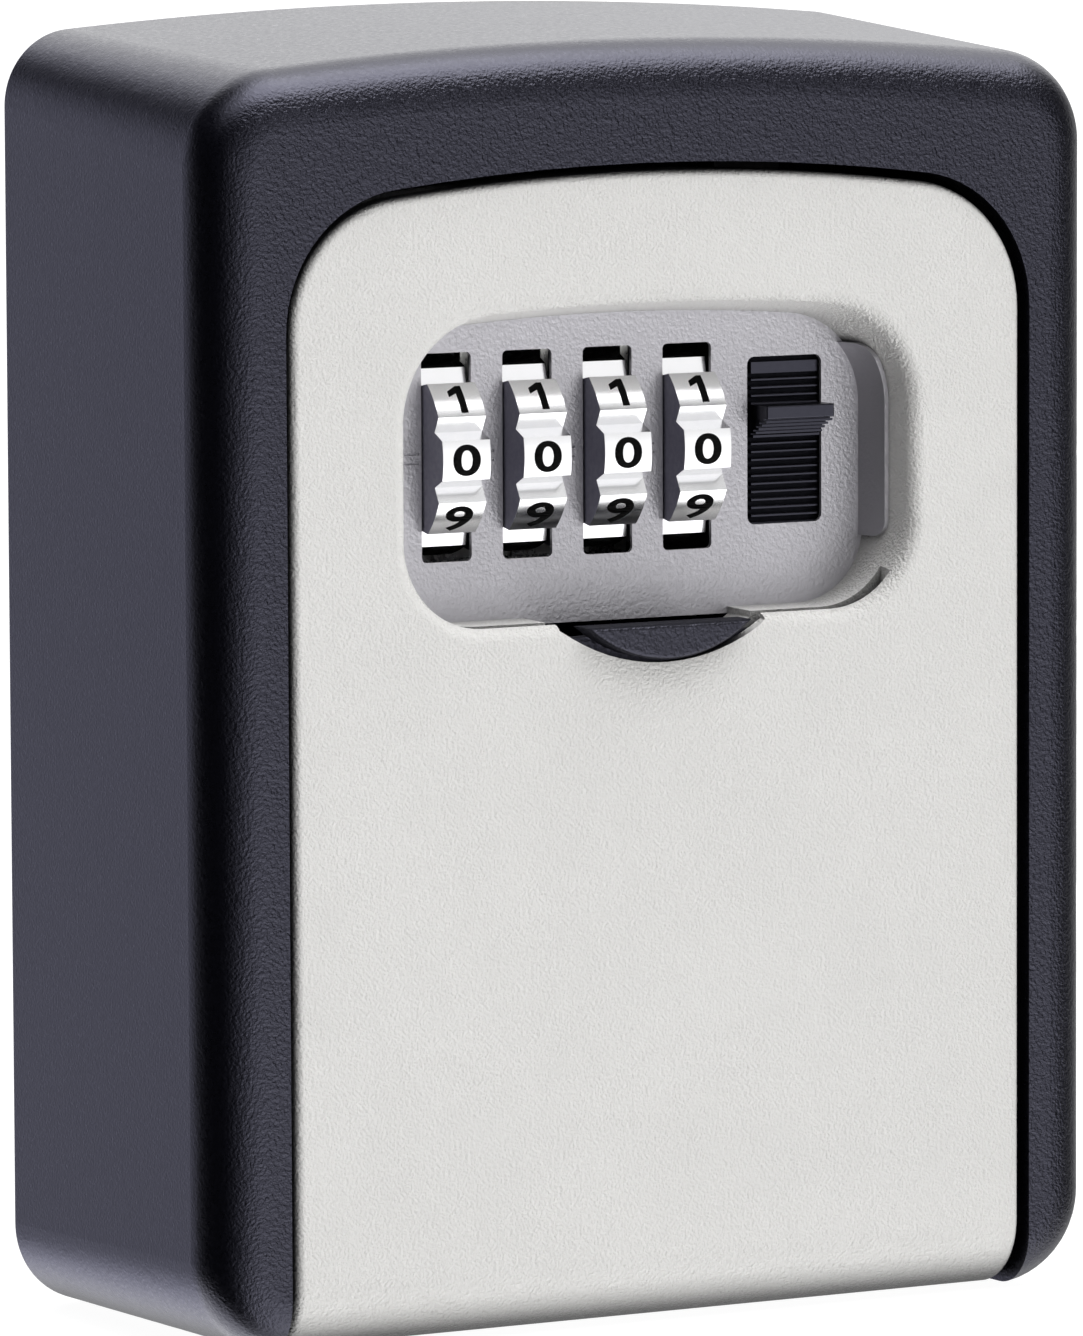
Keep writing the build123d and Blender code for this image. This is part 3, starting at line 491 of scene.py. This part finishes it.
class Sky(Nodes):
    """The node tree of the studio light."""

    def smooth(self, value, lo, hi):
        n = self.node("ShaderNodeMapRange", interpolation_type="SMOOTHSTEP")
        n.inputs["From Min"].default_value = lo
        n.inputs["From Max"].default_value = hi
        self.feed(n.inputs["Value"], value)
        return n.outputs["Result"]

    def lamp(self, direction, azimuth, elevation, full, gone, strength):
        a, e = math.radians(azimuth), math.radians(elevation)
        dot = self.node("ShaderNodeVectorMath", operation="DOT_PRODUCT")
        self.feed(dot.inputs[0], direction)
        dot.inputs[1].default_value = (math.sin(a) * math.cos(e), -math.cos(a) * math.cos(e), math.sin(e))
        lobe = self.smooth(dot.outputs["Value"], math.cos(math.radians(gone)), math.cos(math.radians(full)))
        return self.math("MULTIPLY", lobe, strength)

    def curve(self, angle, stops):
        """Strengths joined by straight lines, looked up at an angle; stops are in degrees."""
        start, end = stops[0][0], stops[-1][0]
        top = max(strength for _, strength in stops)
        turned = self.math("SUBTRACT", angle, math.radians(start))
        share = self.math("DIVIDE", turned, math.radians(end - start))
        line = self.ramp(share, [((at - start) / (end - start), grey(strength / top))
                                 for at, strength in stops])
        return self.math("MULTIPLY", line, top)


scene = bpy.context.scene
scene.view_settings.view_transform = "Standard"
world = bpy.data.worlds.new("studio")
scene.world = world
world.use_nodes = True
sky = Sky(world.node_tree)
direction = sky.node("ShaderNodeTexCoord").outputs["Generated"]
azimuth = sky.math("ARCTAN2", sky.axis(direction, "X"), sky.math("MULTIPLY", sky.axis(direction, "Y"), -1.0))
elevation = sky.math("ARCSINE", sky.axis(direction, "Z"))
above = sky.smooth(elevation, *(math.radians(height) for height in HORIZON_FADE))
glow = sky.math("MULTIPLY", sky.curve(azimuth, HORIZON), sky.math("SUBTRACT", 1.0, above))
for lamp in LAMPS:
    glow = sky.math("ADD", glow, sky.lamp(direction, *lamp))
glow = sky.math("ADD", glow, FILL)
# the object is lit by the tent, and stands before plain white paper
tent = world.node_tree.nodes["Background"]
sky.feed(tent.inputs["Color"], sky.mix(sky.lamp(direction, *COOL_SIDE, 1.0), WHITE, COOL_PAPER))
sky.feed(tent.inputs["Strength"], glow)
paper = sky.node("ShaderNodeBackground")
paper.inputs["Color"].default_value = WHITE
either = sky.node("ShaderNodeMixShader")
seen = sky.node("ShaderNodeLightPath").outputs["Is Camera Ray"]
for socket, source in zip(either.inputs, (seen, tent.outputs[0], paper.outputs[0])):
    sky.feed(socket, source)
sky.feed(world.node_tree.nodes["World Output"].inputs["Surface"], either.outputs[0])

# ------------------------------------------------------------------ camera
YAW, PITCH, ROLL = 29.355, 5.708, -0.248            # degrees: to the right of straight ahead, down, tilt
CAMERA_AT = (-0.4499, -0.81766, 0.09025)
SENSOR = 36.0
FOCAL = 9.150                                       # focal length in picture widths
yaw, pitch, roll = (math.radians(angle) for angle in (YAW, PITCH, ROLL))
ahead = Vector((math.sin(yaw) * math.cos(pitch), math.cos(yaw) * math.cos(pitch), -math.sin(pitch)))
level = Vector((math.cos(yaw), -math.sin(yaw), 0))
upright = level.cross(ahead)
right = level * math.cos(roll) + upright * math.sin(roll)
up = -level * math.sin(roll) + upright * math.cos(roll)
cam_data = bpy.data.cameras.new("camera")
cam_data.sensor_fit = "HORIZONTAL"
cam_data.sensor_width = SENSOR
cam_data.lens = SENSOR * FOCAL
cam = bpy.data.objects.new("camera", cam_data)
scene.collection.objects.link(cam)
stand = Matrix((right, up, -ahead)).transposed().to_4x4()
stand.translation = Vector(CAMERA_AT)
cam.matrix_world = stand
scene.camera = cam
